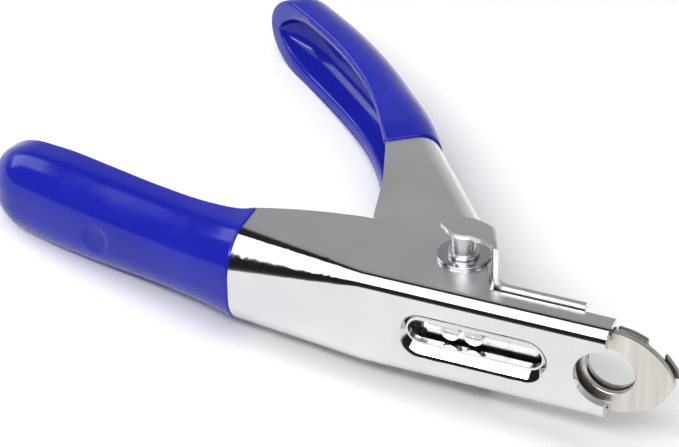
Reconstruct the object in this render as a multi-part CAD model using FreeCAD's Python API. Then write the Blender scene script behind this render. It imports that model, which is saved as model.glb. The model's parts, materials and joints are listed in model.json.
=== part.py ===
"""Guillotine pet nail trimmer: two squeeze handles, a sliding blade and a pointed nose with a nail hole.

Frame, in millimetres: the origin is the centre of the nail hole on the front face of the nose plate.
+X points forward to the nose, +Z is the pivot axis (up when the tool lies on its side), and +Y points
from the fixed handle's outer web towards the moving handle.
"""
import FreeCAD, Part
import math
import os

from FreeCAD import Vector

# ---------------------------------------------------------------- driving dimensions
SHEET = 1.5                    # thickness of the pressed steel of the body
BODY_HALF = 9.0                # half the body's width along Z
WEB_Y = -2.7                   # outer face of the body's web
FLANGE_Y = 2.7                 # free edge of the low flanges at the nose
JUNCTION_X = -69.5             # where the fixed grip's coating starts
JUNCTION_TOP = 9.9             # height of the side walls there
NOSE_BEND = 2.6                # outer bend radius of the channel at the nose
GRIP_BEND = 7.6                # outer bend radius of the channel at the grip
FLAT_WEB_X = -44.0             # the web is flat from here forward

HOLE_R = 4.5                   # nail hole
NOTCH_R = 5.5                  # half-round notch of the web around the hole

PIVOT_X = -30.0
PIVOT_Y = 10.2
PIN_R = 2.1
RUNNING = 0.05                 # radial clearance of a running fit

HANDLE_ANGLE = 129.0           # direction of the moving handle at rest, from +X
HANDLE_HALF = 7.1              # half the moving handle's width along Z
HANDLE_SHEET = 1.4
HANDLE_WEB = 8.2               # distance of its outer web face from the pivot axis
HANDLE_BEND = 4.2              # outer bend radius between its web and walls
HANDLE_JUNCTION = 40.6         # where the moving grip's coating starts
HANDLE_TOP = 1.7               # height of its walls there, from the pivot axis

STRAP_ANGLE = 24.0             # direction of the strap's normal
STRAP_INNER = 4.6              # distance of the strap's inner face from the pivot axis
STRAP_SHEET = 0.9
STRAP_HALF = 10.0              # half the strap's width
TAIL_Y = 3.0                   # inner face of the tail that rests over the flanges
TAIL_END_X = -5.6
EAR_TOP = 15.0

COAT = 0.7                     # thickness of the vinyl outside the metal
LINING = 0.6                   # thickness of the vinyl inside the channel
MOUTH = 0.35                   # thickness of the vinyl where it starts
MOUTH_RISE = 1.2               # its extra depth there, from the web to over the walls' edges

BLADE_Y = 1.05                 # face of the blade nearest the nose plate
BLADE_T = 0.6
BLADE_EDGE_X = -4.3            # cutting edge at rest
BLADE_HALF = 5.4
PLATE_T = 1.0                  # nose plate, from y = 0
GUIDE_T = 0.7                  # blade gap
BACKING_T = 0.9
ROD_Y = 4.6                    # axis of the guide rod
ROD_R = 1.25
BRACKET_X = -46.0
GUIDE_INSET = 0.4              # how far the guide stays inside the nose plate's outline
NOSE_INSET = 1.2               # and the backing, between its tabs
RIVET_X = -7.6                 # the two rivets of the nose
RIVET_Z = 6.35
RIVET_R = 0.6
WINDOW_X = -23.6               # middle of the window in the body's web
WINDOW_LENGTH = 24.2
WINDOW_WIDTH = 4.4

TOE_R = 1.5                    # rounded toe of the handle's short arm
TOE_REACH = 9.4
TOE_BACK = 22.0                # the arm leans back at rest and forward by as much when squeezed
EAR_RISER = 5.4                # width of the strap's riser that carries each ear

WASHER_R = 4.75
WASHER_T = 0.6
COLLAR_R = 2.75
COLLAR_T = 0.6
THRUST_R = 4.0
SPACER_R = 3.2

CARRIAGE_X0 = -40.6            # slide block
CARRIAGE_X1 = -32.2
CARRIAGE_HALF = 5.3
TONGUE_T = 0.85                # thickness of the carriage's tongue and cross bar
SCREW_X = (-28.6, -24.4)
SCREW_HOLE_R = 1.05
SCREW_R = 1.0
ROD_TAIL = CARRIAGE_X0 - 21.6  # rear end of the pull rod
NUT_T = 0.9
ROD_WASHER_T = 0.6
SPRING_WIRE_R = 0.35
SPRING_COIL_R = 2.3
SPRING_TURNS = 8

SPAN = 40.0                    # longer than any hole or cut is deep

parts = {}


# ---------------------------------------------------------------- helpers
def wire_of(points):
    """Closed wire through points in the XY plane; an entry (middle, end) makes an arc."""
    edges = []
    start = points[0]
    for item in points[1:] + [points[0]]:
        if isinstance(item, tuple):
            middle, end = item
            edges.append(Part.Arc(start, middle, end).toShape())
            start = end
        else:
            if (item - start).Length > 1e-6:
                edges.append(Part.LineSegment(start, item).toShape())
            start = item
    return Part.Wire(edges)


def prism_z(points, low, high):
    """Straight prism between two heights along Z."""
    face = Part.Face(wire_of([lift(item, low) for item in points]))
    return face.extrude(Vector(0, 0, high - low))


def lift(item, height):
    """Point or arc entry moved to a height along Z."""
    if isinstance(item, tuple):
        return tuple(Vector(p.x, p.y, height) for p in item)
    return Vector(item.x, item.y, height)


def xy(x, y):
    return Vector(x, y, 0)


def rounded(points, radii):
    """Polygon points with tangent arcs at its corners, as entries for wire_of."""
    entries = []
    count = len(points)
    for index, corner in enumerate(points):
        radius = radii[index] if isinstance(radii, (list, tuple)) else radii
        if radius <= 0:
            entries.append(corner)
            continue
        before = (points[index - 1] - corner).normalize()
        after = (points[(index + 1) % count] - corner).normalize()
        half = before.getAngle(after) / 2
        reach = radius / math.tan(half)
        bisector = (before + after).normalize()
        centre = corner + bisector * (radius / math.sin(half))
        entries.append(corner + before * reach)
        entries.append((centre - bisector * radius, corner + after * reach))
    return entries


def strip(path, thickness):
    """Outline of a bent sheet: one face runs along path, the other lies to its left."""
    offsets = []
    for index, point in enumerate(path):
        directions = []
        if index > 0:
            directions.append((point - path[index - 1]).normalize())
        if index < len(path) - 1:
            directions.append((path[index + 1] - point).normalize())
        normals = [Vector(-d.y, d.x, 0) for d in directions]
        if len(normals) == 1:
            offsets.append(point + normals[0] * thickness)
        else:
            mean = (normals[0] + normals[1]).normalize()
            offsets.append(point + mean * (thickness / mean.dot(normals[0])))
    return path + offsets[::-1]


def stadium(length, height, y):
    """Closed obround wire around the window's middle, in a plane of constant y."""
    half = length / 2 - height / 2
    r = height / 2
    left = WINDOW_X - half
    right = WINDOW_X + half
    return Part.Wire([
        Part.LineSegment(Vector(left, y, -r), Vector(right, y, -r)).toShape(),
        Part.Arc(Vector(right, y, -r), Vector(right + r, y, 0), Vector(right, y, r)).toShape(),
        Part.LineSegment(Vector(right, y, r), Vector(left, y, r)).toShape(),
        Part.Arc(Vector(left, y, r), Vector(left - r, y, 0), Vector(left, y, -r)).toShape(),
    ])


def cylinder_z(x, y, radius):
    """Long cylinder along Z, for drilling through."""
    return Part.makeCylinder(radius, SPAN, Vector(x, y, -SPAN / 2))


def bore_y(radius, y0, y1, x=0.0, z=0.0):
    """Cylinder along Y."""
    return Part.makeCylinder(radius, y1 - y0, Vector(x, y0, z), Vector(0, 1, 0))


def tube_z(x, y, low, high, outer, inner):
    """Ring along Z."""
    ring = Part.makeCylinder(outer, high - low, Vector(x, y, low))
    return ring.cut(Part.makeCylinder(inner, high - low, Vector(x, y, low)))


def tube_x(x0, x1, y, outer, inner):
    """Ring along X on the mid plane."""
    ring = Part.makeCylinder(outer, x1 - x0, Vector(x0, y, 0), Vector(1, 0, 0))
    return ring.cut(Part.makeCylinder(inner, x1 - x0, Vector(x0, y, 0), Vector(1, 0, 0)))


def save(name, shape):
    parts[name] = shape


# ---------------------------------------------------------------- trough sections of the handles
class Station:
    """One cross section of a handle: a trough whose open side faces along its own normal."""

    def __init__(self, along, web, slope, depth, half, bend):
        self.along = along
        self.web = web
        self.slope = math.radians(slope)
        self.depth = depth
        self.half = half
        self.bend = bend

    def point(self, rise, side):
        """Point at a height above the web line and a distance from the mid plane."""
        return Vector(self.along - math.sin(self.slope) * rise,
                      self.web + math.cos(self.slope) * rise, side)

    def outline(self, inset, rise, lip):
        """Closed wire inset from the outer face; rise is added to the free edges."""
        half = self.half - inset
        low = inset
        high = self.depth + rise
        bend = max(self.bend - inset, 0.6)
        bend = min(bend, half * 0.9, (high - low) * 0.8)
        lip = min(lip, half * 0.4, (high - low) * 0.15)
        k = math.sqrt(0.5)
        corners = [
            (low, half, bend, -1), (low, -half, bend, -1),
            (high, -half, lip, 1), (high, half, lip, 1),
        ]
        points = []
        for rise_at, side_at, radius, up in corners:
            sign = 1 if side_at > 0 else -1
            on_wall = self.point(rise_at - up * radius, side_at)
            on_level = self.point(rise_at, side_at - sign * radius)
            middle = self.point(rise_at - up * radius * (1 - k), side_at - sign * radius * (1 - k))
            points.append((on_wall, middle, on_level))
        web_right, web_left, lip_left, lip_right = points
        return Part.Wire([
            Part.Arc(*web_right).toShape(),
            Part.LineSegment(web_right[2], web_left[2]).toShape(),
            Part.Arc(web_left[2], web_left[1], web_left[0]).toShape(),
            Part.LineSegment(web_left[0], lip_left[0]).toShape(),
            Part.Arc(*lip_left).toShape(),
            Part.LineSegment(lip_left[2], lip_right[2]).toShape(),
            Part.Arc(lip_right[2], lip_right[1], lip_right[0]).toShape(),
            Part.LineSegment(lip_right[0], web_right[0]).toShape(),
        ])


def trough(stations, inset, rise=0.0, lip=0.3):
    """Solid through all stations."""
    return Part.makeLoft([s.outline(inset, rise, lip) for s in stations], True, False)


def tip(station, reach, scale):
    """Section further out that shrinks towards the middle of the open side, so the web curves up to it."""
    lift = station.depth * (1 - scale)
    return Station(station.along + reach - math.sin(station.slope) * lift,
                   station.web + math.tan(station.slope) * reach + math.cos(station.slope) * lift,
                   math.degrees(station.slope), station.depth * scale,
                   station.half * scale, station.bend * scale)


# outward distance, web line, slope in degrees, depth, half width, bend radius
FIXED_STATIONS = [
    Station(68.4, WEB_Y - MOUTH, 0, JUNCTION_TOP - WEB_Y + MOUTH_RISE, BODY_HALF + MOUTH,
            GRIP_BEND + MOUTH),
    Station(74.0, -1.7, 12, 11.7, 8.8, 7.7),
    Station(80.5, -0.2, 12, 10.6, 8.4, 7.3),
    Station(89.0, 1.5, 10, 10.2, 8.4, 7.2),
    Station(100.0, 3.5, 12, 10.4, 8.6, 7.2),
    Station(109.0, 5.5, 15, 10.4, 8.6, 7.2),
    Station(115.0, 7.2, 18, 10.0, 8.2, 6.9),
]
MOVING_STATIONS = [
    Station(HANDLE_JUNCTION - 1.0, -HANDLE_WEB - MOUTH, -3, HANDLE_TOP + HANDLE_WEB + 2 * MOUTH,
            HANDLE_HALF + MOUTH, HANDLE_BEND + MOUTH),
    Station(43.2, -9.0, -4, 10.6, HANDLE_HALF + COAT, 5.0),
    Station(49.0, -9.4, -3, 10.1, 8.0, 5.8),
    Station(57.0, -9.2, 1, 9.4, 8.2, 6.8),
    Station(67.0, -8.2, 7, 9.0, 8.5, 7.0),
    Station(78.0, -6.2, 11, 8.9, 8.5, 7.0),
    Station(86.0, -4.2, 16, 8.8, 8.2, 6.8),
    Station(90.5, -2.8, 19, 8.6, 8.0, 6.6),
]
FIXED_STATIONS += [tip(FIXED_STATIONS[-1], *step) for step in ((4.6, 0.84), (7.3, 0.55), (8.5, 0.2))]
MOVING_STATIONS += [tip(MOVING_STATIONS[-1], *step) for step in ((4.2, 0.84), (6.6, 0.55), (7.7, 0.2))]


def grip_shape(stations, metal):
    """Dip-moulded coating: a closed skin around the metal channel, open along the trough."""
    outside = trough(stations, 0.0, 0.0, 1.2)
    first = stations[0]
    lead = Station(first.along - 3.0, first.web, 0, first.depth, first.half, first.bend)
    last = stations[-3]
    end = Station(last.along - 0.5, last.web + 1.2, math.degrees(last.slope),
                  last.depth - 1.0, last.half - 1.6, last.bend)
    inside = trough([lead] + stations[:-3] + [end], COAT + SHEET + LINING, 4.0, 0.2)
    return outside.cut(inside).cut(metal)


def tang_shape(stations, start):
    """Sheet-metal channel inside a grip; start is the station where it leaves the bare handle."""
    core = [start] + stations[1:-3]
    end = stations[-3]
    core.append(Station(end.along - 1.5, end.web, math.degrees(end.slope),
                        end.depth, end.half, end.bend))
    insets = [0.0] + [COAT] * (len(core) - 1)
    outer = Part.makeLoft([s.outline(i, -i, 0.2) for s, i in zip(core, insets)], True, False)
    inner = Part.makeLoft([s.outline(i + SHEET, 5.0, 0.2) for s, i in zip(core, insets)], True, False)
    return outer.cut(inner)


# ---------------------------------------------------------------- fixed handle and body
def channel_section(x, bend, inset, top):
    """Closed wire of the channel's outer or inner section in a plane of constant x."""
    half = BODY_HALF - inset
    low = WEB_Y + inset
    r = bend - inset
    k = r * (1 - math.sqrt(0.5))
    return Part.Wire([
        Part.LineSegment(Vector(x, top, half), Vector(x, low + r, half)).toShape(),
        Part.Arc(Vector(x, low + r, half), Vector(x, low + k, half - k),
                 Vector(x, low, half - r)).toShape(),
        Part.LineSegment(Vector(x, low, half - r), Vector(x, low, r - half)).toShape(),
        Part.Arc(Vector(x, low, r - half), Vector(x, low + k, k - half),
                 Vector(x, low + r, -half)).toShape(),
        Part.LineSegment(Vector(x, low + r, -half), Vector(x, top, -half)).toShape(),
        Part.LineSegment(Vector(x, top, -half), Vector(x, top, half)).toShape(),
    ])


def channel_blank(inset, top, x0, x1):
    """The channel's outer or inner body, from the rounded grip end to the flat nose."""
    rounded_end = Part.makeLoft([
        channel_section(x0, GRIP_BEND, inset, top),
        channel_section(-58.0, GRIP_BEND - 2.2, inset, top),
        channel_section(FLAT_WEB_X, NOSE_BEND, inset, top),
    ], True, False)
    flat_end = Part.Face(channel_section(FLAT_WEB_X, NOSE_BEND, inset, top))
    flat_end = flat_end.extrude(Vector(x1 - FLAT_WEB_X, 0, 0))
    return rounded_end.fuse(flat_end)


def side_profile():
    """Outline of the side walls seen along Z."""
    start = xy(JUNCTION_X, JUNCTION_TOP)
    shoulder = xy(-33.0, 15.6)
    top = Part.BSplineCurve()
    top.interpolate([start, xy(-61.0, 12.6), xy(-52.0, 14.4), xy(-42.0, 15.3), shoulder])
    peak_x = -28.9
    corners = [shoulder, xy(peak_x, 15.6), xy(-22.3, FLANGE_Y), xy(0, FLANGE_Y),
               xy(0, -10), xy(JUNCTION_X, -10), start]
    edges = [top.toShape()]
    for a, b in zip(corners, corners[1:]):
        edges.append(Part.LineSegment(a, b).toShape())
    face = Part.Face(Part.Wire(edges))
    face.translate(Vector(0, 0, -SPAN / 2))
    profile = face.extrude(Vector(0, 0, SPAN))
    peak = [e for e in profile.Edges if abs(e.tangentAt(e.FirstParameter).z) > 0.99
            and abs(e.Vertexes[0].X - peak_x) < 0.1]
    return profile.makeFillet(2.0, peak)


def rim_edges(shape, y):
    """Edges of the window's rim that lie in a plane of constant y."""
    found = []
    for edge in shape.Edges:
        box = edge.BoundBox
        level = abs(box.YMin - y) < 0.02 and abs(box.YMax - y) < 0.02
        along = abs(box.Center.x - WINDOW_X) < 14.0 and box.XLength < 20.0
        across = box.ZMin > -5.0 and box.ZMax < 5.0
        if level and along and across:
            found.append(edge)
    return found


def body_channel():
    outer = channel_blank(0.0, 17.0, JUNCTION_X, 0.0)
    inner = channel_blank(SHEET, 18.0, JUNCTION_X, 0.0)
    shell = outer.cut(inner).common(side_profile())
    # inward dish around the window
    dish_back = WEB_Y + SHEET
    dish_floor = WEB_Y + 1.5
    dish_body = Part.makeLoft([stadium(26.2, 8.6, dish_back - 0.4), stadium(25.0, 6.6, dish_back + 1.3)],
                              True, False)
    dish_void = Part.makeLoft([stadium(27.4, 9.2, WEB_Y - 0.2), stadium(24.8, 5.4, dish_floor)],
                              True, False)
    slot = Part.Face(stadium(WINDOW_LENGTH, WINDOW_WIDTH, -5.0)).extrude(Vector(0, 8, 0))
    shell = shell.fuse(dish_body).cut(dish_void).cut(slot)
    shell = shell.makeFillet(1.6, rim_edges(shell, WEB_Y))
    # half-round notch that clears the nail hole
    shell = shell.cut(bore_y(NOTCH_R, WEB_Y - 1.0, WEB_Y + 2.0))
    # pivot holes
    shell = shell.cut(cylinder_z(PIVOT_X, PIVOT_Y, PIN_R + RUNNING))
    bare_end = Station(-JUNCTION_X, WEB_Y, 0, JUNCTION_TOP - WEB_Y, BODY_HALF, GRIP_BEND)
    tang = mirrored(tang_shape(FIXED_STATIONS, bare_end))
    return shell.fuse(tang).removeSplitter()


def mirrored(shape):
    """The fixed handle runs towards -X."""
    return shape.mirror(Vector(0, 0, 0), Vector(1, 0, 0))


def fixed_grip(body):
    """Grip with the shallow round dimple where the coating sinks into the hang hole."""
    grip = mirrored(grip_shape(FIXED_STATIONS, mirrored(body)))
    slope = math.radians(11)
    inward = Vector(math.sin(slope), math.cos(slope), 0)
    ball = Part.makeSphere(6.0, Vector(-96.4, 2.7, 0) - inward * 5.3)
    return grip.cut(ball)


# ---------------------------------------------------------------- nose
def nose_outline(inset, back_x, tip_x):
    """Half-pointed plate outline seen along Y, as a closed wire in the plane y = 0."""
    wide = 7.9 - inset
    neck = BODY_HALF - SHEET - 0.1
    tip = tip_x - inset
    upper = Part.Arc(Vector(0.3, 0, wide), Vector(7.0 - inset * 0.7, 0, 6.0 - inset * 0.8),
                     Vector(tip - 0.25, 0, 0.9)).toShape()
    nib = Part.Arc(Vector(tip - 0.25, 0, 0.9), Vector(tip, 0, 0),
                   Vector(tip - 0.25, 0, -0.9)).toShape()
    lower = Part.Arc(Vector(tip - 0.25, 0, -0.9), Vector(7.0 - inset * 0.7, 0, -6.0 + inset * 0.8),
                     Vector(0.3, 0, -wide)).toShape()
    corners = [Vector(0.3, 0, -wide), Vector(0.3, 0, -neck), Vector(back_x, 0, -neck),
               Vector(back_x, 0, neck), Vector(0.3, 0, neck), Vector(0.3, 0, wide)]
    straight = [Part.LineSegment(a, b).toShape() for a, b in zip(corners, corners[1:])]
    return Part.Wire([upper, nib, lower] + straight)


def nose_blank(inset, back_x, tip_x, y0, y1):
    face = Part.Face(nose_outline(inset, back_x, tip_x))
    face.translate(Vector(0, y0, 0))
    return face.extrude(Vector(0, y1 - y0, 0))


def rivet_holes(y0, y1):
    holes = bore_y(RIVET_R, y0, y1, RIVET_X, RIVET_Z)
    return holes.fuse(bore_y(RIVET_R, y0, y1, RIVET_X, -RIVET_Z))


def nose_plate():
    plate = nose_blank(0.0, -9.4, 11.4, 0.0, PLATE_T)
    plate = plate.cut(bore_y(HOLE_R, -1, 3))
    rim = [e for e in plate.Edges if isinstance(e.Curve, Part.Circle)
           and abs(e.Curve.Radius - HOLE_R) < 0.01]
    plate = plate.makeChamfer(0.12, rim)
    return plate.cut(rivet_holes(-1, 3))


def blade_guide():
    y0 = PLATE_T
    y1 = PLATE_T + GUIDE_T
    shim = nose_blank(GUIDE_INSET, -9.4, 11.4, y0, y1)
    path = Part.makeBox(17.0, 3.0, 2 * BLADE_HALF + 0.2,
                        Vector(-11.0, y0 - 1, -BLADE_HALF - 0.1))
    shim = shim.cut(path)
    return shim.cut(rivet_holes(y0 - 1, y1 + 1))


def nose_backing():
    """Rear plate behind the blade, set back from the outline except at a shoulder tab and a tip tab."""
    y0 = PLATE_T + GUIDE_T
    y1 = y0 + BACKING_T
    plate = nose_blank(NOSE_INSET, -12.0, 11.9, y0, y1)
    full = nose_blank(0.0, -12.0, 11.9, y0, y1)
    shoulder = Part.makeBox(5.2, SPAN, SPAN, Vector(0.7, -SPAN / 2, -SPAN / 2))
    tip_tab = Part.makeBox(4.0, SPAN, SPAN, Vector(9.0, -SPAN / 2, 0.4))
    backing = plate.fuse(full.common(shoulder.fuse(tip_tab)))
    backing = backing.cut(bore_y(HOLE_R, -1, 8))
    return backing.cut(rivet_holes(-1, 8)).removeSplitter()


def nose_rivets():
    """Two flush rivets that hold plate, guide and backing together."""
    high = PLATE_T + GUIDE_T + BACKING_T
    rivets = [bore_y(RIVET_R, 0, high, RIVET_X, z) for z in (RIVET_Z, -RIVET_Z)]
    return Part.makeCompound(rivets)


# ---------------------------------------------------------------- moving handle
def to_handle(shape):
    """From the handle's own frame (x outward, y to its open side) to its place at rest."""
    shape = shape.copy()
    shape.rotate(Vector(0, 0, 0), Vector(0, 0, 1), HANDLE_ANGLE)
    shape.translate(Vector(PIVOT_X, PIVOT_Y, 0))
    return shape


def direction(degrees):
    return xy(math.cos(math.radians(degrees)), math.sin(math.radians(degrees)))


def bent(block, level, radius):
    """Rounds the two long edges of a block at a height along Y."""
    edges = [e for e in block.Edges if abs(e.CenterOfMass.y - level) < 1e-3
             and abs(e.CenterOfMass.z) > 1.0 and abs(e.tangentAt(e.FirstParameter).x) > 0.99]
    return block.makeFillet(radius, edges)


def moving_handle():
    """Channel lever in its own frame, with the two short arms whose toes push the carriage."""
    along = direction(-90.0 - TOE_BACK - HANDLE_ANGLE)
    across = Vector(-along.y, along.x, 0)
    toe = along * TOE_REACH
    heel_x = 10.9
    outline = [
        xy(HANDLE_JUNCTION, -HANDLE_WEB),
        xy(HANDLE_JUNCTION, HANDLE_TOP),
        xy(28.7, 5.8),
        xy(18.4, 10.6),
        xy(11.5, 10.8),
        toe - along * 3.0 - across * 3.6,
        toe - across * TOE_R,
        (toe + along * TOE_R, toe + across * TOE_R),
        toe - along * 4.5 + across * 1.6,
        xy(-3.6, -3.1),
        xy(heel_x, -HANDLE_WEB),
    ]
    shell = bent(prism_z(outline, -HANDLE_HALF, HANDLE_HALF), -HANDLE_WEB, HANDLE_BEND)
    room_half = HANDLE_HALF - HANDLE_SHEET
    room_low = HANDLE_SHEET - HANDLE_WEB
    room = Part.makeBox(2 * SPAN, SPAN, 2 * room_half, Vector(-SPAN / 2, room_low, -room_half))
    shell = shell.cut(bent(room, room_low, HANDLE_BEND - HANDLE_SHEET))
    shell = shell.cut(cylinder_z(0, 0, PIN_R))
    bare_end = Station(HANDLE_JUNCTION, -HANDLE_WEB, 0, HANDLE_TOP + HANDLE_WEB, HANDLE_HALF, HANDLE_BEND)
    return shell.fuse(tang_shape(MOVING_STATIONS, bare_end))


def crossing(p, d, q, e):
    """Point where two lines in the XY plane meet."""
    det = d.x * -e.y + e.x * d.y
    s = ((q.x - p.x) * -e.y + e.x * (q.y - p.y)) / det
    return p + d * s


def saddle_strap():
    """One bent sheet over both side walls: tongue, strap, forward tail and two ears."""
    pivot = xy(PIVOT_X, PIVOT_Y)
    n = direction(STRAP_ANGLE)
    t = direction(STRAP_ANGLE + 90.0)
    u = direction(HANDLE_ANGLE)
    v = direction(HANDLE_ANGLE + 90.0)
    tongue_end = pivot + u * 21.0 - v * (HANDLE_WEB - HANDLE_SHEET - 0.02)
    strap_foot = pivot + n * (STRAP_INNER + STRAP_SHEET)
    tail_outer = TAIL_Y + STRAP_SHEET
    bend_top = crossing(tongue_end, u, strap_foot, t)
    bend_low = crossing(strap_foot, t, Vector(0, tail_outer, 0), Vector(1, 0, 0))
    outer = [tongue_end, bend_top, bend_low, Vector(TAIL_END_X, tail_outer, 0)]
    band = strip(outer[::-1], STRAP_SHEET)
    radii = [0, 3.0, 2.0, 0, 0, 1.3, 3.0 - STRAP_SHEET, 0]
    sheet = prism_z(rounded(band, radii), -STRAP_HALF, STRAP_HALF)
    # the tongue lies between the handle's walls
    neck_s = -1.3
    narrow = HANDLE_HALF - HANDLE_BEND
    for low in (narrow, -SPAN - narrow):
        side = Part.makeBox(SPAN, SPAN, SPAN, Vector(-SPAN / 2, 0, 0))
        side.rotate(Vector(0, 0, 0), Vector(0, 0, 1), STRAP_ANGLE)
        side.translate(pivot + t * neck_s + Vector(0, 0, low))
        sheet = sheet.cut(side)
    # ears over the side walls, bent at right angles from the strap's edges
    upper = ear(pivot, n, t, neck_s)
    lower = upper.mirror(Vector(0, 0, 0), Vector(0, 0, 1))
    return sheet.fuse(upper).fuse(lower).removeSplitter()


def ear(pivot, n, t, neck_s):
    """Teardrop tab over the pivot pin with the riser that joins it to the strap."""
    outer = STRAP_INNER + STRAP_SHEET
    s0 = neck_s - EAR_RISER
    s1 = neck_s
    tab = [
        pivot + n * outer + t * s0,
        pivot + n * outer + t * s1,
        (pivot + n * 3.9 + t * 0.7, pivot + n * 1.2 + t * 2.6),
        pivot + n * (-1.8) + t * 3.4,
        (pivot + n * (-3.7) + t * 2.5, pivot + n * (-3.3) + t * 0.4),
        (pivot + n * (-1.7) + t * (-2.0), pivot + n * 0.8 + t * (-2.7)),
        pivot + n * 2.6 + t * (-3.9),
    ]
    plate = prism_z(tab, EAR_TOP - STRAP_SHEET, EAR_TOP)
    riser = [
        pivot + n * STRAP_INNER + t * s0,
        pivot + n * outer + t * s0,
        pivot + n * outer + t * s1,
        pivot + n * STRAP_INNER + t * s1,
    ]
    wall = prism_z(riser, STRAP_HALF - 1.0, EAR_TOP)
    joined = plate.fuse(wall).removeSplitter()
    top = [e for e in joined.Edges
           if abs(e.CenterOfMass.z - EAR_TOP) < 1e-3
           and abs((e.CenterOfMass - pivot).dot(n) - outer) < 1e-3]
    return joined.makeFillet(0.8, top)


# ---------------------------------------------------------------- pivot hardware
def save_pair(name, shape):
    """A piece above the mid plane and its mirror image below."""
    save(name + "_top", shape)
    save(name + "_bottom", shape.mirror(Vector(0, 0, 0), Vector(0, 0, 1)))


def pivot_parts():
    under_ear = EAR_TOP - STRAP_SHEET
    save("pivot_pin", Part.makeCylinder(PIN_R, 2 * under_ear, Vector(PIVOT_X, PIVOT_Y, -under_ear)))
    washer_top = BODY_HALF + WASHER_T
    washer = tube_z(PIVOT_X, PIVOT_Y, BODY_HALF, washer_top, WASHER_R, PIN_R + RUNNING)
    rim = [e for e in washer.Edges if isinstance(e.Curve, Part.Circle)
           and abs(e.Curve.Radius - WASHER_R) < 1e-3
           and abs(e.CenterOfMass.z - washer_top) < 1e-3]
    save_pair("pivot_washer", washer.makeFillet(0.3, rim))
    collar_low = washer_top + 0.1
    save_pair("pivot_collar",
              tube_z(PIVOT_X, PIVOT_Y, collar_low, collar_low + COLLAR_T, COLLAR_R, PIN_R))
    thrust_high = BODY_HALF - SHEET - 0.05
    save_pair("thrust_washer",
              tube_z(PIVOT_X, PIVOT_Y, HANDLE_HALF, thrust_high, THRUST_R, PIN_R))
    inside = HANDLE_HALF - HANDLE_SHEET
    save("pivot_spacer", tube_z(PIVOT_X, PIVOT_Y, -inside, inside, SPACER_R, PIN_R))


# ---------------------------------------------------------------- blade, carriage and return spring
BLADE_BACK_X = -33.0


def blade():
    top = BLADE_Y + BLADE_T
    plate = Part.makeBox(BLADE_EDGE_X - BLADE_BACK_X, BLADE_T, 2 * BLADE_HALF,
                         Vector(BLADE_BACK_X, BLADE_Y, -BLADE_HALF))
    bevel = [xy(BLADE_EDGE_X - 1.6, top), xy(BLADE_EDGE_X + 0.1, top),
             xy(BLADE_EDGE_X + 0.1, BLADE_Y + 0.05)]
    plate = plate.cut(prism_z(bevel, -SPAN / 2, SPAN / 2))
    for x in SCREW_X:
        plate = plate.cut(bore_y(SCREW_HOLE_R, -1, 5, x))
    return plate


def blade_carriage():
    """Slide block with a forward tongue under the blade and two side lugs ahead of the handle's toes."""
    low = BLADE_Y + BLADE_T
    block = Part.makeBox(CARRIAGE_X1 - CARRIAGE_X0, 5.4, 2 * CARRIAGE_HALF,
                         Vector(CARRIAGE_X0, 1.4, -CARRIAGE_HALF))
    tongue_half = BLADE_HALF - 0.4
    tongue = Part.makeBox(-22.4 - CARRIAGE_X1, TONGUE_T, 2 * tongue_half,
                          Vector(CARRIAGE_X1, low, -tongue_half))
    block = block.fuse(tongue)
    lug_face = PIVOT_X - TOE_REACH * math.sin(math.radians(TOE_BACK)) + TOE_R + 0.75
    lug_length = 1.7
    lug_inside = 5.65
    lug_low = -0.6
    cross = Part.makeBox(lug_length, TONGUE_T, 2 * HANDLE_HALF, Vector(lug_face, low, -HANDLE_HALF))
    block = block.fuse(cross)
    for z in (lug_inside, -HANDLE_HALF):
        lug = Part.makeBox(lug_length, low - lug_low, HANDLE_HALF - lug_inside,
                           Vector(lug_face, lug_low, z))
        block = block.fuse(lug)
    for x in SCREW_X:
        block = block.cut(bore_y(SCREW_HOLE_R, -1, 3.4, x))
    socket = Part.makeCylinder(ROD_R, 6.0, Vector(CARRIAGE_X0 - 0.1, ROD_Y, 0), Vector(1, 0, 0))
    blade_seat = Part.makeBox(14.0, BLADE_T + 0.4, 2 * BLADE_HALF,
                              Vector(BLADE_BACK_X, BLADE_Y - 0.4, -BLADE_HALF))
    return block.cut(socket).cut(blade_seat).removeSplitter()


def blade_screws():
    """Two pan-head screws through blade and carriage tongue."""
    screws = []
    for x in SCREW_X:
        head = bore_y(1.7, BLADE_Y - 0.7, BLADE_Y, x)
        shank = bore_y(SCREW_R, BLADE_Y - 0.3, BLADE_Y + BLADE_T + TONGUE_T, x)
        drive = Part.makeBox(2.4, 0.35, 0.4, Vector(x - 1.2, BLADE_Y - 0.75, -0.2))
        screws.append(head.fuse(shank).cut(drive))
    return Part.makeCompound(screws)


def guide_rod():
    return Part.makeCylinder(ROD_R, 27.5, Vector(ROD_TAIL, ROD_Y, 0), Vector(1, 0, 0))


def spring_bracket():
    """L-shaped bracket welded to the web, with a hole for the rod's bush."""
    floor = WEB_Y + SHEET
    thick = 1.4
    foot = Part.makeBox(7.0, 1.2, 9.0, Vector(BRACKET_X - 7.0, floor, -4.5))
    upright = Part.makeBox(thick, 8.6, 9.0, Vector(BRACKET_X, floor, -4.5))
    bracket = foot.fuse(upright).removeSplitter()
    heel = [e for e in bracket.Edges if abs(e.CenterOfMass.x - BRACKET_X - thick) < 1e-3
            and abs(e.CenterOfMass.y - floor) < 1e-3]
    bracket = bracket.makeFillet(0.9, heel)
    hole = Part.makeCylinder(2.0, 10, Vector(BRACKET_X - 4, ROD_Y, 0), Vector(1, 0, 0))
    return bracket.cut(hole)


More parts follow.
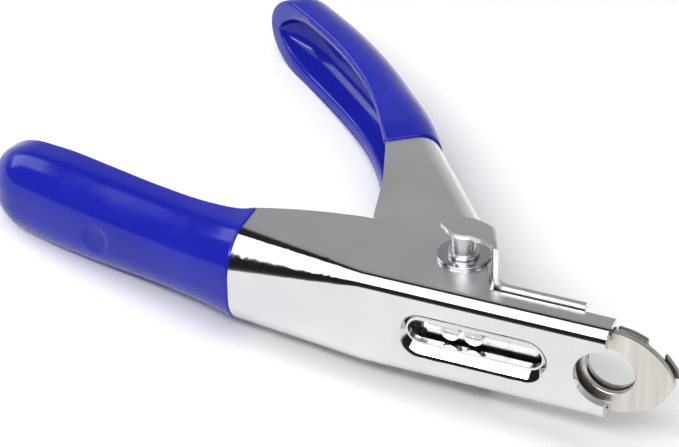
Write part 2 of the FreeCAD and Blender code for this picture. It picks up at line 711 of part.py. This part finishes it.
def return_spring():
    """Compression spring between the bracket and the washer on the rod's tail."""
    start = ROD_TAIL + NUT_T + ROD_WASHER_T + 0.4
    length = BRACKET_X - start - 2 * SPRING_WIRE_R
    helix = Part.makeHelix(length / SPRING_TURNS, length, SPRING_COIL_R)
    circle = Part.Circle(Vector(SPRING_COIL_R, 0, 0), Vector(0, 1, 0), SPRING_WIRE_R)
    coil = Part.Wire(helix.Edges).makePipeShell([Part.Wire(circle.toShape())], True, True)
    coil.rotate(Vector(0, 0, 0), Vector(0, 1, 0), 90)
    coil.translate(Vector(start + SPRING_WIRE_R, ROD_Y, 0))
    return coil


# ---------------------------------------------------------------- assembly
body = body_channel()
save("body_channel", body)
save("fixed_grip", fixed_grip(body))
save("nose_plate", nose_plate())
save("blade_guide", blade_guide())
save("nose_backing", nose_backing())
save("nose_rivets", nose_rivets())
handle = moving_handle()
save("moving_handle", to_handle(handle))
save("moving_grip", to_handle(grip_shape(MOVING_STATIONS, handle)))
save("saddle_strap", saddle_strap())
pivot_parts()
save("blade", blade())
save("blade_carriage", blade_carriage())
save("blade_screws", blade_screws())
save("guide_rod", guide_rod())
washer_x = ROD_TAIL + NUT_T
save("rod_nut", tube_x(ROD_TAIL, washer_x, ROD_Y, 2.2, ROD_R))
save("rod_washer", tube_x(washer_x, washer_x + ROD_WASHER_T, ROD_Y, 3.0, ROD_R))
save("spring_bracket", spring_bracket())
save("rod_bush", tube_x(BRACKET_X - 0.3, BRACKET_X + 1.7, ROD_Y, 2.0, ROD_R + RUNNING))
save("return_spring", return_spring())

os.makedirs("parts", exist_ok=True)
for name, shape in parts.items():
    shape.exportStep(os.path.join("parts", name + ".step"))
    solids = len(shape.Solids)
    box = shape.BoundBox
    print("%-20s solids %d valid %s volume %.1f  x %.1f..%.1f y %.1f..%.1f z %.1f..%.1f" % (
        name, solids, shape.isValid(), shape.Volume,
        box.XMin, box.XMax, box.YMin, box.YMax, box.ZMin, box.ZMax))
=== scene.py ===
"""Looks of the pet nail trimmer: vinyl grips, metal finishes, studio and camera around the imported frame."""
import json
import math

import bmesh
import bpy
import numpy as np
from mathutils import Matrix, Vector


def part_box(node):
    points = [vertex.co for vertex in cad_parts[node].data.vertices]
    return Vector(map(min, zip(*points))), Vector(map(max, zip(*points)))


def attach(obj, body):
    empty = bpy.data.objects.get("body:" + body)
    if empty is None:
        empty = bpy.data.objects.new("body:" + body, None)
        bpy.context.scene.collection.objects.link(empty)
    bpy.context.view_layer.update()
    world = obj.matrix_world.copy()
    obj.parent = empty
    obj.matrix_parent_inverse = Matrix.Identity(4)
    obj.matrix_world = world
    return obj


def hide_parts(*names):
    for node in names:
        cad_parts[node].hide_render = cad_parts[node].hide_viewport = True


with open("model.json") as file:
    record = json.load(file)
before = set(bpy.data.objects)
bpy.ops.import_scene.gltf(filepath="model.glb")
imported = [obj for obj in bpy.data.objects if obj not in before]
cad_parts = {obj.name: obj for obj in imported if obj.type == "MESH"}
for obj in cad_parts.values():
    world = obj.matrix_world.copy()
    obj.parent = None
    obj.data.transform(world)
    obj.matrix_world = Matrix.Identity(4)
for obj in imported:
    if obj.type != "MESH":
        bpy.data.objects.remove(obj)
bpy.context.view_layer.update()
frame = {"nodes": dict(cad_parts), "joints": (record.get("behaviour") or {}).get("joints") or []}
nodes = frame["nodes"]
joints = {joint["name"]: joint for joint in frame["joints"]}

MM = 0.001
SHEET = 1.5                   # sizes in millimetres, as in the design
COAT = 0.7                    # vinyl outside the sheet
LINING = 0.6                  # vinyl inside the sheet
WALL = COAT + SHEET + LINING
LIP = 0.7                     # rounding of the vinyl's outer rim
DIMPLE_RADIUS = 2.8           # round dimple over the hang hole
DIMPLE_EDGE = 0.9
DIMPLE_DEPTH = 0.5
HANDLE_ANGLE = 129.0          # direction of the moving handle at rest, in degrees from +X
HALF_BODY = 9.0               # half width of the body channel
HALF_HANDLE = 7.1             # half width of the lever
FIXED_END = 9.6               # length of the rounded end of each grip
MOVING_END = 8.4
HANG_HOLE = 96.4              # distance of the dimple from the nail hole
SIDE_ROUGHNESS = 0.34         # satin side walls
WELD_DISTANCE = 2e-6          # metres
FLOOR_REACH = 4.0


# ------------------------------------------------------------------ materials
def shader(name):
    """New material with its node tree, and its principled shader."""
    material = bpy.data.materials.new(name)
    material.use_nodes = True
    return material, material.node_tree, material.node_tree.nodes["Principled BSDF"]


def coordinates(tree, stretch=(1.0, 1.0, 1.0)):
    """Object coordinates, scaled along each axis."""
    source = tree.nodes.new("ShaderNodeTexCoord")
    mapping = tree.nodes.new("ShaderNodeMapping")
    mapping.inputs["Scale"].default_value = stretch
    tree.links.new(source.outputs["Object"], mapping.inputs["Vector"])
    return mapping.outputs["Vector"]


def noise(tree, vector, scale, detail=4.0, roughness=0.5):
    """Fine irregular pattern, from 0 to 1."""
    node = tree.nodes.new("ShaderNodeTexNoise")
    node.inputs["Scale"].default_value = scale
    node.inputs["Detail"].default_value = detail
    node.inputs["Roughness"].default_value = roughness
    tree.links.new(vector, node.inputs["Vector"])
    return node.outputs["Fac"]


def remap(tree, value, low, high, start=0.3, end=0.7):
    """Value from start..end to low..high."""
    node = tree.nodes.new("ShaderNodeMapRange")
    node.inputs["From Min"].default_value = start
    node.inputs["From Max"].default_value = end
    node.inputs["To Min"].default_value = low
    node.inputs["To Max"].default_value = high
    tree.links.new(value, node.inputs["Value"])
    return node.outputs["Result"]


def mix_colors(tree, factor, first, second):
    """Color between the first and the second."""
    node = tree.nodes.new("ShaderNodeMix")
    node.data_type = "RGBA"
    node.inputs["A"].default_value = (*first, 1)
    node.inputs["B"].default_value = (*second, 1)
    tree.links.new(factor, node.inputs["Factor"])
    return node.outputs["Result"]


def bump(tree, bsdf, height, strength, distance):
    """Surface relief from a height pattern."""
    node = tree.nodes.new("ShaderNodeBump")
    node.inputs["Strength"].default_value = strength
    node.inputs["Distance"].default_value = distance
    tree.links.new(height, node.inputs["Height"])
    tree.links.new(node.outputs["Normal"], bsdf.inputs["Normal"])


def metal(name, dark, light, rough, stretch=(1, 1, 1), grain=900.0, relief=0.00001, strength=0.1):
    """Metal whose tint and roughness vary with a fine grain."""
    material, tree, bsdf = shader(name)
    bsdf.inputs["Metallic"].default_value = 1.0
    vector = coordinates(tree, stretch)
    cloud = noise(tree, vector, 90.0, 3.0)
    fine = noise(tree, vector, grain, 5.0, 0.6)
    tree.links.new(mix_colors(tree, remap(tree, cloud, 0, 1), dark, light), bsdf.inputs["Base Color"])
    tree.links.new(remap(tree, fine, rough[0], rough[1]), bsdf.inputs["Roughness"])
    bump(tree, bsdf, fine, strength, relief)
    return material


def satin_sides(material, half):
    """The flat side walls are less polished than the bends: roughness grows near the given half width."""
    tree = material.node_tree
    bsdf = tree.nodes["Principled BSDF"]
    polished = bsdf.inputs["Roughness"].links[0].from_socket
    source = tree.nodes.new("ShaderNodeTexCoord")
    split = tree.nodes.new("ShaderNodeSeparateXYZ")
    tree.links.new(source.outputs["Object"], split.inputs["Vector"])
    away = tree.nodes.new("ShaderNodeMath")
    away.operation = "ABSOLUTE"
    tree.links.new(split.outputs["Z"], away.inputs[0])
    share = remap(tree, away.outputs["Value"], 0.0, 1.0, (half - 0.06) * MM, (half - 0.01) * MM)
    mixed = tree.nodes.new("ShaderNodeMix")
    mixed.inputs["B"].default_value = SIDE_ROUGHNESS
    tree.links.new(share, mixed.inputs["Factor"])
    tree.links.new(polished, mixed.inputs["A"])
    tree.links.new(mixed.outputs["Result"], bsdf.inputs["Roughness"])


def vinyl(name, color, deep):
    """Glossy dip-moulded vinyl with a faint orange-peel surface."""
    material, tree, bsdf = shader(name)
    vector = coordinates(tree)
    cloud = noise(tree, vector, 60.0, 2.0)
    peel = noise(tree, vector, 420.0, 2.0, 0.4)
    tree.links.new(mix_colors(tree, remap(tree, cloud, 0, 1), deep, color), bsdf.inputs["Base Color"])
    tree.links.new(remap(tree, peel, 0.12, 0.2), bsdf.inputs["Roughness"])
    bsdf.inputs["Specular IOR Level"].default_value = 0.32
    bump(tree, bsdf, peel, 0.12, 0.00004)
    return material


chrome = metal("chrome", (0.64, 0.645, 0.655), (0.7, 0.7, 0.705), (0.05, 0.09),
               grain=700.0, strength=0.012)
satin_sides(chrome, HALF_BODY)
lever_chrome = metal("lever_chrome", (0.66, 0.655, 0.65), (0.73, 0.72, 0.71), (0.06, 0.12),
                     grain=900.0, strength=0.05)
satin_sides(lever_chrome, HALF_HANDLE)
brushed = metal("brushed_stainless", (0.52, 0.49, 0.45), (0.68, 0.65, 0.61), (0.28, 0.42),
                stretch=(6.0, 6.0, 0.35), grain=2600.0, strength=0.35, relief=0.00002)
backing_steel = metal("backing_steel", (0.26, 0.25, 0.22), (0.4, 0.39, 0.35), (0.25, 0.38),
                      grain=1800.0, strength=0.2)
blade_steel = metal("blade_steel", (0.5, 0.5, 0.51), (0.64, 0.64, 0.65), (0.14, 0.24),
                    stretch=(6.0, 6.0, 0.5), grain=2200.0, strength=0.15)
plated = metal("plated_steel", (0.46, 0.46, 0.48), (0.62, 0.62, 0.63), (0.2, 0.32), grain=1600.0)
wire_steel = metal("spring_steel", (0.32, 0.32, 0.34), (0.48, 0.48, 0.5), (0.22, 0.34), grain=1400.0)
dark_mirror = metal("washer_steel", (0.4, 0.4, 0.42), (0.52, 0.52, 0.54), (0.06, 0.12), grain=1200.0)
bronze = metal("bronze", (0.5, 0.32, 0.15), (0.66, 0.44, 0.22), (0.3, 0.45), grain=2400.0, strength=0.2)
blue_vinyl = vinyl("blue_vinyl", (0.012, 0.018, 0.36), (0.009, 0.013, 0.3))
nylon = vinyl("nylon", (0.8, 0.79, 0.75), (0.72, 0.71, 0.66))

FINISHES = {
    "body_channel": chrome, "moving_handle": lever_chrome, "saddle_strap": chrome,
    "pivot_washer_top": dark_mirror, "pivot_washer_bottom": dark_mirror,
    "pivot_collar_top": chrome, "pivot_collar_bottom": chrome,
    "fixed_grip": blue_vinyl, "moving_grip": blue_vinyl,
    "nose_plate": brushed, "nose_backing": backing_steel, "blade_guide": backing_steel,
    "blade": blade_steel, "return_spring": wire_steel, "rod_bush": bronze,
    "thrust_washer_top": nylon, "thrust_washer_bottom": nylon,
}
for name, node in nodes.items():
    node.data.materials.clear()
    node.data.materials.append(FINISHES.get(name, plated))


# ------------------------------------------------------------------ softened edges of the metal pieces
def soften(name, width, angle=35.0, segments=2):
    """Joins the node's split vertices, then rounds its sharp edges."""
    node = nodes[name]
    weld = node.modifiers.new("weld", "WELD")
    weld.merge_threshold = WELD_DISTANCE
    bevel = node.modifiers.new("edges", "BEVEL")
    bevel.width = width * MM
    bevel.segments = segments
    bevel.limit_method = "ANGLE"
    bevel.angle_limit = math.radians(angle)
    bevel.harden_normals = True
    bevel.use_clamp_overlap = True


for piece in ("saddle_strap", "moving_handle", "nose_plate", "nose_backing", "blade_guide"):
    soften(piece, 0.12)
for piece in ("spring_bracket", "blade_carriage", "rod_nut", "rod_washer", "pivot_pin"):
    soften(piece, 0.1)


# ------------------------------------------------------------------ vinyl grips
def smooth_table(rows, along):
    """Values of each column at the given places, on a curve through the rows without overshoot."""
    xs = np.array([row[0] for row in rows], float)
    values = np.array([row[1:] for row in rows], float)
    step = np.diff(xs)
    secant = np.diff(values, axis=0) / step[:, None]
    tangent = np.zeros_like(values)
    tangent[0] = secant[0]
    tangent[-1] = secant[-1]
    weighted = secant[:-1] * step[1:, None] + secant[1:] * step[:-1, None]
    tangent[1:-1] = weighted / (step[1:] + step[:-1])[:, None]
    found = []
    for x in along:
        i = int(np.clip(np.searchsorted(xs, x) - 1, 0, len(xs) - 2))
        t = (x - xs[i]) / step[i]
        h = [2 * t**3 - 3 * t**2 + 1, t**3 - 2 * t**2 + t, -2 * t**3 + 3 * t**2, t**3 - t**2]
        found.append(h[0] * values[i] + h[1] * step[i] * tangent[i]
                     + h[2] * values[i + 1] + h[3] * step[i] * tangent[i + 1])
    return found


def corner(centre_u, centre_v, radius_u, radius_v, start, end, count):
    """Points of an elliptic arc, angles in degrees."""
    points = []
    for k in range(count):
        a = math.radians(start + (end - start) * k / (count - 1))
        points.append((centre_u + radius_u * math.cos(a), centre_v + radius_v * math.sin(a)))
    return points


def section(half, depth, bend, inset, open_share):
    """Closed loop of a trough section: u across, v up from the web. open_share 0 closes the trough."""
    half -= inset
    top = depth - inset
    low = inset
    bend = min(bend - inset, 0.98 * half, 0.8 * (top - low))
    wall = WALL - 2 * inset
    lip = min(LIP, wall / 2)
    inner = max((half - wall) * open_share, 0.05)
    rise = max((top - low - wall) * open_share, 0.02)
    drop = min(0.9 * open_share, 0.5 * rise)
    slant = (wall - lip) * open_share
    loop = corner(half - lip, top - lip, lip, lip, 90, 0, 7)
    loop += corner(half - bend, low + bend, bend, bend, 0, -90, 16)
    flat = half - bend
    loop += [(flat * (1 - k / 4), low) for k in range(1, 8)]
    loop += corner(-half + bend, low + bend, bend, bend, -90, -180, 16)
    loop += corner(-half + lip, top - lip, lip, lip, 180, 90, 7)
    loop += corner(-inner - slant, top - drop, slant, drop, 90, 0, 8)
    loop += bowl(inner, top - drop, rise - drop, 22)
    loop += corner(inner + slant, top - drop, slant, drop, 180, 90, 8)
    return loop


def bowl(reach, level, fall, count):
    """Points of the trough's rounded floor, from one side to the other."""
    points = []
    for k in range(1, count):
        a = math.pi * k / count
        side = -math.copysign(abs(math.cos(a)) ** 0.72, math.cos(a))
        points.append((reach * side, level - fall * math.sin(a) ** 0.72))
    return points


def pressed_in(along, u, v, middle):
    """Depth of the round dimple in the web at a place, 0 outside it."""
    if middle is None or v > DIMPLE_RADIUS:
        return 0.0
    t = min(max((DIMPLE_RADIUS - math.hypot(along - middle, u)) / DIMPLE_EDGE, 0.0), 1.0)
    return DIMPLE_DEPTH * t * t * (3 - 2 * t)


def grip_mesh(name, rows, round_length, place, dimple=None):
    """Skin of one grip. Rows: along, web, slope, depth, half width, bend radius."""
    first = rows[0][0]
    last = rows[-1][0]
    round_start = last - round_length
    inner_length = 0.9 * (round_length - WALL) + 6.0
    inner_start = last - WALL - inner_length
    rings = [(first + 0.1, 0.6), (first, 0.3), (first + 0.08, 0.12), (first + 0.3, 0.0)]
    count = 130
    rings += [(first + 0.3 + (round_start - first - 0.3) * k / count, 0.0) for k in range(1, count + 1)]
    ends = 26
    quarter = 0.5 * math.pi
    rings += [(round_start + round_length * math.sin(quarter * k / ends), 0.0) for k in range(1, ends + 1)]
    table = smooth_table(rows, [along for along, inset in rings])
    mesh = bmesh.new()
    loops = []
    for (along, inset), (web, slope, depth, half, bend) in zip(rings, table):
        slope = math.radians(slope)
        scale = round_share(along, round_start, round_length)
        open_share = round_share(along, inner_start, inner_length)
        ring = []
        for u, v in section(half, depth, bend, inset, open_share):
            u *= scale
            v = depth - (depth - v) * scale
            v += pressed_in(along, u, v, dimple)
            point = Vector((along - math.sin(slope) * v, web + math.cos(slope) * v, u))
            ring.append(mesh.verts.new(place @ (point * MM)))
        loops.append(ring)
    size = len(loops[0])
    for a, b in zip(loops, loops[1:]):
        for k in range(size):
            mesh.faces.new((a[k], a[(k + 1) % size], b[(k + 1) % size], b[k]))
    mesh.faces.new(loops[-1])
    bmesh.ops.recalc_face_normals(mesh, faces=mesh.faces)
    data = bpy.data.meshes.new(name)
    mesh.to_mesh(data)
    mesh.free()
    for face in data.polygons:
        face.use_smooth = True
    piece = bpy.data.objects.new(name, data)
    bpy.context.scene.collection.objects.link(piece)
    data.materials.append(blue_vinyl)
    return piece


def round_share(along, start, length):
    """Share of the full size left at a place on a rounded end."""
    t = min(max((along - start) / length, 0.0), 0.9999)
    return math.sqrt(1 - t * t)


pivot = Vector(joints["handle_squeeze"]["pos_m"])
mirror_x = Matrix.Scale(-1, 4, (1, 0, 0))
to_handle = Matrix.Translation(pivot) @ Matrix.Rotation(math.radians(HANDLE_ANGLE), 4, "Z")

FIXED_ROWS = [
    (68.4, -3.05, 0, 13.3, 9.35, 7.95),
    (74.0, -1.7, 12, 11.7, 8.8, 7.7),
    (80.5, -0.2, 12, 10.6, 8.4, 7.3),
    (89.0, 1.5, 10, 10.2, 8.4, 7.2),
    (100.0, 3.5, 12, 10.4, 8.6, 7.2),
    (109.0, 5.5, 15, 10.4, 8.6, 7.2),
    (115.0, 7.2, 18, 10.0, 8.2, 6.9),
    (124.2, 10.2, 18, 9.4, 7.6, 6.4),
]
MOVING_ROWS = [
    (39.6, -8.55, -3, 10.6, 7.45, 4.55),
    (43.2, -9.0, -4, 10.6, 7.8, 5.0),
    (49.0, -9.4, -3, 10.1, 8.0, 5.8),
    (57.0, -9.2, 1, 9.4, 8.2, 6.8),
    (67.0, -8.2, 7, 9.0, 8.5, 7.0),
    (78.0, -6.2, 11, 8.9, 8.5, 7.0),
    (86.0, -4.2, 16, 8.8, 8.2, 6.8),
    (98.8, -0.2, 19, 8.5, 7.6, 6.2),
]
fixed_grip = grip_mesh("fixed_grip_skin", FIXED_ROWS, FIXED_END, mirror_x, dimple=HANG_HOLE)
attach(fixed_grip, "body")
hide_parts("fixed_grip")
moving_grip = grip_mesh("moving_grip_skin", MOVING_ROWS, MOVING_END, to_handle)
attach(moving_grip, "lever")
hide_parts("moving_grip")


# ------------------------------------------------------------------ studio
def floor_finish():
    """Pale matt floor with a faint variation."""
    material, tree, bsdf = shader("studio_floor")
    cloud = noise(tree, coordinates(tree), 3.0, 2.0)
    tree.links.new(mix_colors(tree, remap(tree, cloud, 0, 1), (0.88, 0.88, 0.88), (0.92, 0.92, 0.92)),
                   bsdf.inputs["Base Color"])
    bsdf.inputs["Roughness"].default_value = 0.6
    bsdf.inputs["Specular IOR Level"].default_value = 0.2
    return material


def studio_floor():
    """Plane under the lower ear and the undersides of both grips."""
    ear = Vector((-0.030, 0.010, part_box("saddle_strap")[0].z))
    fixed = Vector((-0.105, 0.005, -0.0083))
    moving = Vector((-0.080, 0.075, -0.0084))
    normal = (fixed - ear).cross(moving - ear).normalized()
    if normal.z < 0:
        normal = -normal
    side = Vector((1, 0, 0)) - normal * normal.x
    side.normalize()
    across = normal.cross(side)
    centre = ear - normal * 0.0001
    mesh = bmesh.new()
    corners = [mesh.verts.new(centre + side * a * FLOOR_REACH + across * b * FLOOR_REACH)
               for a, b in ((-1, -1), (1, -1), (1, 1), (-1, 1))]
    mesh.faces.new(corners)
    data = bpy.data.meshes.new("studio_floor")
    mesh.to_mesh(data)
    mesh.free()
    floor = bpy.data.objects.new("studio_floor", data)
    bpy.context.scene.collection.objects.link(floor)
    data.materials.append(floor_finish())


def aim(thing, place, target):
    """Puts a light or camera at a place, looking at a target."""
    thing.location = place
    thing.rotation_euler = (Vector(target) - Vector(place)).to_track_quat("-Z", "Y").to_euler()


def softbox(name, azimuth, elevation, distance, width, height, power):
    """Area light seen from the object at a compass direction (0 is -Y, 90 is +X) and height angle."""
    data = bpy.data.lights.new(name, "AREA")
    data.shape = "RECTANGLE"
    data.size = width
    data.size_y = height
    data.energy = power
    light = bpy.data.objects.new(name, data)
    bpy.context.scene.collection.objects.link(light)
    a = math.radians(azimuth)
    e = math.radians(elevation)
    middle = Vector((-0.045, 0.02, 0.0))
    offset = Vector((math.sin(a) * math.cos(e), -math.cos(a) * math.cos(e), math.sin(e)))
    aim(light, middle + offset * distance, middle)


def studio_world():
    """Room whose brightness follows the angle from the near horizon over the top to the far horizon."""
    world = bpy.data.worlds.new("studio")
    bpy.context.scene.world = world
    world.use_nodes = True
    tree = world.node_tree
    background = tree.nodes["Background"]
    source = tree.nodes.new("ShaderNodeTexCoord")
    split = tree.nodes.new("ShaderNodeSeparateXYZ")
    tree.links.new(source.outputs["Generated"], split.inputs["Vector"])
    near = tree.nodes.new("ShaderNodeMath")
    near.operation = "MULTIPLY"
    near.inputs[1].default_value = -1.0
    tree.links.new(split.outputs["Y"], near.inputs[0])
    angle = tree.nodes.new("ShaderNodeMath")
    angle.operation = "ARCTAN2"
    tree.links.new(split.outputs["Z"], angle.inputs[0])
    tree.links.new(near.outputs["Value"], angle.inputs[1])
    scaled = tree.nodes.new("ShaderNodeMath")
    scaled.operation = "DIVIDE"
    scaled.inputs[1].default_value = math.pi
    tree.links.new(angle.outputs["Value"], scaled.inputs[0])
    ramp = tree.nodes.new("ShaderNodeValToRGB")
    stops = [(0.0, 0.45), (0.03, 0.06), (0.08, 0.02), (0.6, 0.02), (0.71, 0.03), (0.76, 0.42), (0.86, 0.52),
             (1.0, 0.8)]
    elements = ramp.color_ramp.elements
    while len(elements) < len(stops):
        elements.new(0.5)
    for element, (place, level) in zip(elements, stops):
        element.position = place
        element.color = (level, level, level * 1.02, 1)
    tree.links.new(scaled.outputs["Value"], ramp.inputs["Fac"])
    tree.links.new(ramp.outputs["Color"], background.inputs["Color"])
    background.inputs["Strength"].default_value = 1.0


studio_floor()
studio_world()
softbox("overhead_box", 0, 71, 1.5, 1.9, 2.1, 24.0)
softbox("bright_strip", 0, 47, 1.45, 1.4, 0.2, 12.0)
softbox("left_fill", -100, 35, 1.6, 0.8, 0.8, 7.0)

camera_data = bpy.data.cameras.new("camera")
camera_data.sensor_width = 36.0
camera_data.lens = 206.9
camera = bpy.data.objects.new("camera", camera_data)
bpy.context.scene.collection.objects.link(camera)
right = Vector((0.92059, 0.39022, -0.01505))
up = Vector((-0.21131, 0.53021, 0.82112))
back = right.cross(up).normalized()
turn = Matrix((right, up, back)).transposed().to_4x4()
camera.matrix_world = Matrix.Translation((0.1664, -0.4924, 0.3907)) @ turn
camera_data.clip_start = 0.05
bpy.context.scene.camera = camera
bpy.context.scene.view_settings.view_transform = "Standard"
